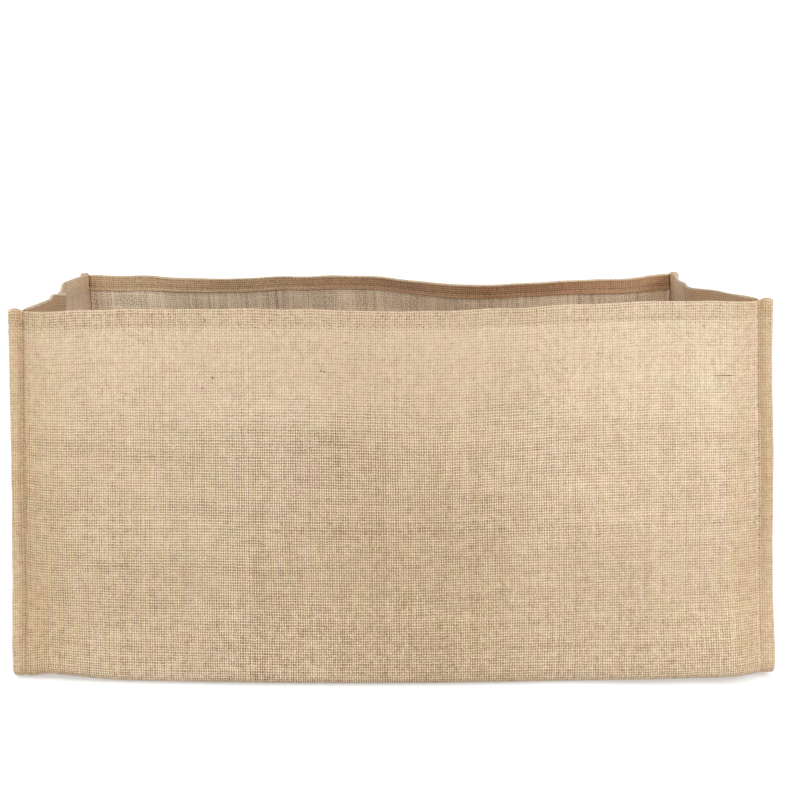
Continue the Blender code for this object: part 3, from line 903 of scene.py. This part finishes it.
# How far each side's cloth map is moved, so that no side repeats the strip's threads or takes its tints, and
# from which place across the painted shade on a side's film and turned hem gives way to painted light
SIDE_SHIFT = {-1: (3.1, 0.7), 1: (5.3, 1.9)}
PAINTED_SHADING_FROM = {-1: 0.006, 1: 0.063}
PAINTED_SHADING_EDGE = 0.004
FREE_COLUMNS = 3
sides, side_lines = {}, {}
for name, end, rim, table in (
    ("left_side_panel", -1, LEFT_RIM, LEFT_CREASES),
    ("right_side_panel", 1, RIGHT_RIM, RIGHT_CREASES),
):
    root, fin, look = seam_frame(end)
    line = root - look * (2 * FOLDED + GAP)
    patch, rise, depth = side_patch(line, rim, end)
    rows, columns = patch.shape[:2]
    index = np.arange(rows * columns).reshape(rows, columns)
    seam = np.concatenate((index[:0:-1, 0], index[0], index[1:, -1]))
    reach = fin_reach[end]
    drawn = line[:, None] + reach[..., None] * fin[:, None]
    fin_index = rows * columns + np.arange(reach.size).reshape(reach.shape)
    levels = np.concatenate((seam[:, None], fin_index), axis=1)
    place = side_place(rise, depth, end, seam, reach)
    points = np.concatenate((patch.reshape(-1, 3), drawn.reshape(-1, 3)))
    points[:, 2] += fin_top(place["drop"], place["out"], place["width"])
    quads = np.concatenate((grid_quads(index), grid_quads(levels)))[:, ::-end]
    border = np.concatenate((index[-1, :0:-1], levels[0, :-1], levels[:-1, -1], levels[-1, :0:-1]))[::end]
    creases = creased(place["across"], place["drop"], table)
    stand = np.clip((DROP.max() - place["drop"]) / STAND_REACH, 0, 1)
    shift_across, shift_along = SIDE_SHIFT[end]
    place["across"] = place["across"] + shift_across
    place["along"] = place["along"] + shift_along
    painted_shading_from = shift_across + PAINTED_SHADING_FROM[end]
    painted_shading_edge = (painted_shading_from - PAINTED_SHADING_EDGE, painted_shading_from + PAINTED_SHADING_EDGE)
    finishes = (
        NATURAL_JUTE,
        lining_finish(name + "_laminate", SIDE_FILM, SIDE_FILM_PALE, [painted_shading_edge + SIDE_PAINTED_SHADING[end]]),
        jute_finish(name + "_turned_jute", [painted_shading_edge + TURNED_SIDE_PAINTED_SHADING[end]], calm=0.4),
    )
    cloth, outer, inner, ways = sewn_cloth(
        name + "_cloth", points, quads, border, place, creases, stand, 0, SIDE_PRESS, finishes
    )
    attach(cloth, "root")
    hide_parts(name)
    patch_row = index[-1 - HEM_ROW]
    hem_row = np.concatenate((levels[HEM_ROW, :0:-1], patch_row, levels[-1 - HEM_ROW, 1:]))
    inside = patch_row[FREE_COLUMNS:-FREE_COLUMNS]
    hem_line = (outer[hem_row], ways[hem_row], place["across"][hem_row])
    inner_line = (inner[inside], -ways[inside], place["across"][inside])
    seam_line = (outer[levels[:, 1]], ways[levels[:, 1]], TRAVEL)
    sides[name] = cloth
    side_lines[name] = ([hem_line], [inner_line, seam_line])

# The sewing thread: a lockstitch of natural jute thread holds the hems down, and another goes through both
# folded edges of each seam. Each stitch dips into a needle hole at both ends and lies in the groove between.
THREAD_RADIUS = 0.00040
STITCH_STEPS = np.array((0.05, 0.17, 0.37, 0.63, 0.83, 0.95))
STITCH_RISE = np.array((-0.00070, -0.00022, -0.00006, -0.00006, -0.00022, -0.00070))
STITCH_SLANT = 0.00012
PLY_TWIST = 0.0011
STITCH_SWELL = np.array((0.6, 1, 1.05, 1.05, 1, 0.6))
INSIDE_MARGIN = 0.0065


def tubes(name, centres, ups, widths, heights, marks, sides, finish):
    """Many short closed tubes in one mesh, each along one row of centres.

    Each ring is an ellipse across the tube, half as wide and half as high as its own sizes say, and a pole in
    the middle of the first and of the last ring closes the ends. The thread map runs along and round a tube.
    """
    ahead = np.gradient(centres, axis=1)
    aside = unit(np.cross(ahead, ups))
    above = unit(np.cross(aside, ahead))
    turns = 2 * np.pi * np.arange(sides)[:, None] / sides
    rings = centres[:, :, None] + widths[..., None, None] * np.cos(turns) * aside[:, :, None]
    rings = rings + heights[..., None, None] * np.sin(turns) * above[:, :, None]
    count, steps = centres.shape[:2]
    points = np.concatenate((rings.reshape(count, -1, 3), centres[:, :1], centres[:, -1:]), axis=1)
    points[..., 2] = points[..., 2].clip(0)
    grid = np.arange(steps * sides).reshape(steps, sides)
    after = np.roll(grid, -1, axis=1)
    poles = np.full(sides, steps * sides)
    first_cap = np.stack((poles, grid[0], after[0]), axis=-1)
    last_cap = np.stack((poles + 1, after[-1], grid[-1]), axis=-1)
    offsets = points.shape[1] * np.arange(count)[:, None, None]
    all_quads = (grid_quads(closed(grid)) + offsets).reshape(-1, 4)
    caps = (np.concatenate((first_cap, last_cap)) + offsets).reshape(-1, 3)
    mesh = bpy.data.meshes.new(name)
    mesh.from_pydata(points.reshape(-1, 3), [], all_quads.tolist() + caps.tolist())
    start, end = marks[:, :-1, None], marks[:, 1:, None]
    turn = np.broadcast_to(np.arange(sides) / sides, (count, steps - 1, sides))
    along = np.stack(np.broadcast_arrays(start, end, end, start + 0 * turn), axis=-1)
    around = np.stack((turn, turn, turn + 1 / sides, turn + 1 / sides), axis=-1)
    quad_map = np.stack((along, around), axis=-1).reshape(-1, 2)
    cap_ends = np.repeat(marks[:, (0, -1)], 3 * sides, axis=1)
    cap_map = np.stack((cap_ends, np.zeros_like(cap_ends)), axis=-1).reshape(-1, 2)
    mesh.uv_layers.new(name="thread").data.foreach_set("uv", np.concatenate((quad_map, cap_map)).ravel())
    mesh.shade_smooth()
    mesh.materials.append(finish)
    made = in_scene(name, mesh)
    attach(made, "root")
    return made


def sewn_row(line, ways, marks):
    """Where the stitches of one row lie: their centres, the ways out of the cloth, and their map places."""
    whole = np.arange(np.ceil(marks[0] / STITCH), np.floor(marks[-1] / STITCH))
    at = (whole[:, None] + STITCH_STEPS) * STITCH
    centres = np.stack([np.interp(at, marks, line[:, axis]) for axis in range(3)], axis=-1)
    ups = unit(np.stack([np.interp(at, marks, ways[:, axis]) for axis in range(3)], axis=-1))
    aside = unit(np.cross(np.gradient(centres, axis=1), ups))
    slant = STITCH_SLANT * (2 * STITCH_STEPS - 1)
    return centres + ups * STITCH_RISE[:, None] + aside * slant[:, None], ups, at


def stitches(name, lines, finish):
    """All the stitches that follow some lines of one panel, as one piece."""
    centres, ups, marks = (np.concatenate(parts) for parts in zip(*(sewn_row(*line) for line in lines)))
    widths = np.broadcast_to(THREAD_RADIUS * STITCH_SWELL, marks.shape)
    return tubes(name, centres, ups, widths, 0.9 * widths, marks, sides=6, finish=finish)


def thread_finish(name, shade, light):
    """Jute thread of two plies, whose twist winds along the thread map in painted shade and light, with fine
    hairs.
    """
    finish, start = new_finish(name)
    along, turn = start.flat_map("thread")
    twist = ((along / PLY_TWIST + turn * 2) * (2 * np.pi)).math("SINE")
    hair = start.noise(along * 2500, turn * 5, 2.0)
    twisted = (twist * 0.35 + hair).ramp(0.1, 0.9).pick(shade, light)
    show(start, twisted, 0.85, twist + hair, 0.00007, Specular_IOR_Level=0.25)
    return finish


PALE_THREAD = thread_finish("pale_jute_thread", (0.44, 0.34, 0.235, 1), (0.62, 0.51, 0.37, 1))
# The same thread with painted shade, for the stitches inside the hems and along the seams
SHADED_THREAD = thread_finish("shaded_jute_thread", (0.34, 0.25, 0.172, 1), (0.53, 0.41, 0.295, 1))


def panel_stitches(name, hem_lines, other_lines):
    """One panel's thread: pale outside its hems, and a copy with painted shade inside them and along its
    seams.
    """
    pale = stitches(name + "_pale_stitches", hem_lines, PALE_THREAD)
    return [pale, stitches(name + "_shaded_stitches", other_lines, SHADED_THREAD)]


inside = np.abs(strip_place["across"][0]) < HALF_WIDTH - INSIDE_MARGIN
strip_hems, strip_others = [], []
for row in (HEM_ROW, -1 - HEM_ROW):
    row_across = strip_place["across"][row]
    strip_hems.append((strip_outer[row], strip_ways[row], row_across))
    strip_others.append((strip_inner[row, inside], -strip_ways[row, inside], row_across[inside]))
for column in (len(FIN_STEPS) - 1, -len(FIN_STEPS)):
    strip_others.append((strip_outer[:, column], strip_ways[:, column], TRAVEL))
strip_threads = panel_stitches("body_panel", strip_hems, strip_others)
side_threads = {name: panel_stitches(name, *lines) for name, lines in side_lines.items()}

# Bark and loose ends in the cloth: flat dark slivers of jute bark lie caught in the weave, and single fibres
# stand off it in low arches.
# A fleck's row: where it lies across and below the rim, its length, its width, how far it leans, and how dark
BARK_PLACES = (
    (-0.141, 0.0535, 0.0022, 0.0012, 0.3, 1.0),
    (-0.149, 0.0615, 0.0020, 0.0010, 0.2, 0.4),
    (-0.147, 0.0085, 0.0042, 0.0005, 0.1, 0.7),
    (-0.077, 0.0315, 0.0022, 0.0008, 1.2, 0.1),
    (-0.055, 0.0475, 0.0018, 0.0011, 0.6, 0.9),
    (-0.052, 0.0480, 0.0016, 0.0010, 0.4, 0.8),
    (0.030, 0.1105, 0.0022, 0.0010, 0.2, 0.9),
    (0.156, 0.0120, 0.0030, 0.0005, 0.0, 0.7),
    (0.250, 0.0195, 0.0016, 0.0007, 0.5, 0.5),
    (0.267, 0.0580, 0.0190, 0.0007, 1.57, 0.15),
    (0.271, 0.0580, 0.0024, 0.0009, 1.57, 0.9),
    (-0.157, 0.1260, 0.0480, 0.0004, 0.0, 0.3),
    (-0.081, 0.1880, 0.0480, 0.0004, 0.02, 0.3),
)
SCATTERED_BARK = 90
BARK_RANGES = (
    (-0.29, 0.29), (0.004, STRIP_LENGTH - 0.004), (0.0006, 0.0022), (0.0003, 0.0007), (0, np.pi), (0.1, 0.8)
)
BARK_STEPS = np.linspace(-0.5, 0.5, 7)
BARK_LIFT = 0.00012
BARK_THICKNESS = 0.00022
BARK_BROWN = (0.30, 0.15, 0.075, 1)
BARK_BLACK = (0.050, 0.028, 0.012, 1)
LOOSE_FIBRES = 260
FIN_FIBRES = 150
FIBRE_STEPS = np.linspace(0, 1, 7)
FIBRE_LENGTHS = (0.003, 0.010)
FIBRE_ARCHES = (0.0003, 0.0014)
FIBRE_RADIUS = 0.00007


def on_strip(face, across, travel):
    """Points of a face of the strip, or ways out of it, at any places across and along it."""
    column = np.interp(across, strip_place["across"][0], np.arange(face.shape[1]))
    row = np.interp(travel, TRAVEL, np.arange(face.shape[0]))
    row_before = np.clip(row.astype(int), 0, face.shape[0] - 2)
    column_before = np.clip(column.astype(int), 0, face.shape[1] - 2)
    down, over = (row - row_before)[..., None], (column - column_before)[..., None]
    top = mix(face[row_before, column_before], face[row_before, column_before + 1], over)
    low = mix(face[row_before + 1, column_before], face[row_before + 1, column_before + 1], over)
    return mix(top, low, down)


draw = np.random.default_rng(19)
scattered = np.stack([draw.uniform(low, high, SCATTERED_BARK) for low, high in BARK_RANGES], axis=1)
bark_at, bark_down, bark_length, bark_width, bark_lean, bark_dark = (
    np.concatenate((BARK_PLACES, scattered)).T[..., None]
)
bark_across = bark_at + bark_length * BARK_STEPS * np.sin(bark_lean)
bark_travel = bark_down + bark_length * BARK_STEPS * np.cos(bark_lean)
bark_ways = on_strip(strip_ways, bark_across, bark_travel)
bark_centres = on_strip(strip_outer, bark_across, bark_travel) + bark_ways * BARK_LIFT
bark_widths = 0.5 * bark_width * np.sqrt(1.02 - 4 * BARK_STEPS ** 2)
bark_heights = np.minimum(bark_widths, BARK_THICKNESS)
bark_marks = np.broadcast_to(bark_dark, bark_widths.shape)
bark_finish, start = new_finish("jute_bark")
dark, turn = start.flat_map("thread")
show(start, dark.pick(BARK_BROWN, BARK_BLACK), 0.9, turn, 0.00003, Specular_IOR_Level=0.1)
bark_flecks = tubes(
    "bark_flecks", bark_centres, bark_ways, bark_widths, bark_heights, bark_marks, sides=6,
    finish=bark_finish,
)

fibre_shape = (LOOSE_FIBRES + FIN_FIBRES, 1)
fibre_across = draw.uniform(-0.295, 0.295, (LOOSE_FIBRES, 1))
fin_across = draw.choice((-1, 1), (FIN_FIBRES, 1)) * draw.uniform(0.301, 0.307, (FIN_FIBRES, 1))
fibre_across = np.concatenate((fibre_across, fin_across))
fibre_travel = draw.uniform(0.0015, 0.30, fibre_shape)
fibre_travel = np.where(draw.random(fibre_shape) < 0.5, fibre_travel, STRIP_LENGTH - fibre_travel)
fibre_lean = draw.uniform(0, 2 * np.pi, fibre_shape)
fibre_lean = fibre_lean + draw.uniform(-0.9, 0.9, fibre_shape) * FIBRE_STEPS
fibre_step = draw.uniform(*FIBRE_LENGTHS, fibre_shape) / (len(FIBRE_STEPS) - 1)
fibre_across = fibre_across + np.cumsum(fibre_step * np.sin(fibre_lean), axis=1)
fibre_travel = fibre_travel + np.cumsum(fibre_step * np.cos(fibre_lean), axis=1)
fibre_ways = on_strip(strip_ways, fibre_across, fibre_travel)
fibre_arch = draw.uniform(*FIBRE_ARCHES, fibre_shape) * np.sin(np.pi * FIBRE_STEPS) - 0.0001
fibre_centres = on_strip(strip_outer, fibre_across, fibre_travel) + fibre_ways * fibre_arch[..., None]
fibre_widths = np.broadcast_to(FIBRE_RADIUS * (1.1 - FIBRE_STEPS), fibre_arch.shape)
fibre_marks = np.broadcast_to(FIBRE_STEPS * 0.006, fibre_arch.shape)
loose_fibres = tubes(
    "loose_fibres", fibre_centres, fibre_ways, fibre_widths, fibre_widths, fibre_marks, sides=3,
    finish=PALE_THREAD,
)

# A plain pale floor under the bag, far wider than the view. It glows a little, so that it meets the white
# room with no edge, and takes the bag's soft shadow.
FLOOR_REACH = 12
FLOOR_LEVEL = -0.0004
FLOOR_GREY = (0.5, 0.5, 0.5, 1)
FLOOR_GLOW = 0.45
floor_corners = FLOOR_REACH * np.array(((-1, -1, 0), (1, -1, 0), (1, 1, 0), (-1, 1, 0)))
floor_mesh = bpy.data.meshes.new("floor")
floor_mesh.from_pydata(floor_corners + (0, 0, FLOOR_LEVEL), [], [(0, 1, 2, 3)])
floor = in_scene("floor", floor_mesh)
paint, start = new_finish("pale_floor")
matt = start.node("BsdfDiffuse", None, {"Color": FLOOR_GREY})
glow = start.node("Emission", None, {"Color": WHITE, "Strength": FLOOR_GLOW})
start.node("OutputMaterial", None, {"Surface": start.node("AddShader", None, {0: matt, 1: glow})})
floor_mesh.materials.append(paint)

# Soft studio light: an even white room, a wide light overhead, and one square lamp high on each side of the
# front, the right one the stronger.
ROOM_LIGHT = 1.02
SUN_LIGHT = 1.0
SUN_SPREAD = np.radians(80)
SUN_LEAN = np.radians(12)
LAMP_SIZE = 0.6
LAMPS = (
    ("left_lamp", (-0.95, -0.60, 0.95), (-0.1, -0.1, 0.15), 3.8),
    ("right_lamp", (1.30, -1.00, 0.90), (0.1, -0.1, 0.10), 13.4),
)
world = bpy.data.worlds.new("white_room")
bpy.context.scene.world = world
world.use_nodes = True
room = world.node_tree.nodes["Background"].inputs
room["Color"].default_value = WHITE
room["Strength"].default_value = ROOM_LIGHT
sun = bpy.data.lights.new("ceiling_light", "SUN")
sun.energy = SUN_LIGHT
sun.angle = SUN_SPREAD
in_scene("ceiling_light", sun).rotation_euler = (SUN_LEAN, 0, 0)
for name, place, aim, watts in LAMPS:
    lamp = bpy.data.lights.new(name, "AREA")
    lamp.size = LAMP_SIZE
    lamp.energy = watts
    stand = in_scene(name, lamp)
    stand.location = place
    stand.rotation_euler = (Vector(aim) - Vector(place)).to_track_quat("-Z", "Y").to_euler()

# The camera stands a little over a metre from the middle of the bag, a hand's width above its rim. It looks
# down by 11 degrees, and is rolled by a fraction of a degree.
CAMERA_PLACE = (0.0073, -1.0503, 0.4052)
LENS = 52.4
TILT = np.radians(79.0)
ROLL = np.radians(-0.26)
camera_data = bpy.data.cameras.new("camera")
camera_data.sensor_width = 36
camera_data.lens = LENS
camera = in_scene("camera", camera_data)
camera.location = CAMERA_PLACE
camera.rotation_mode = "ZYX"
camera.rotation_euler = (TILT, 0, ROLL)
bpy.context.scene.camera = camera
bpy.context.scene.view_settings.view_transform = "Standard"
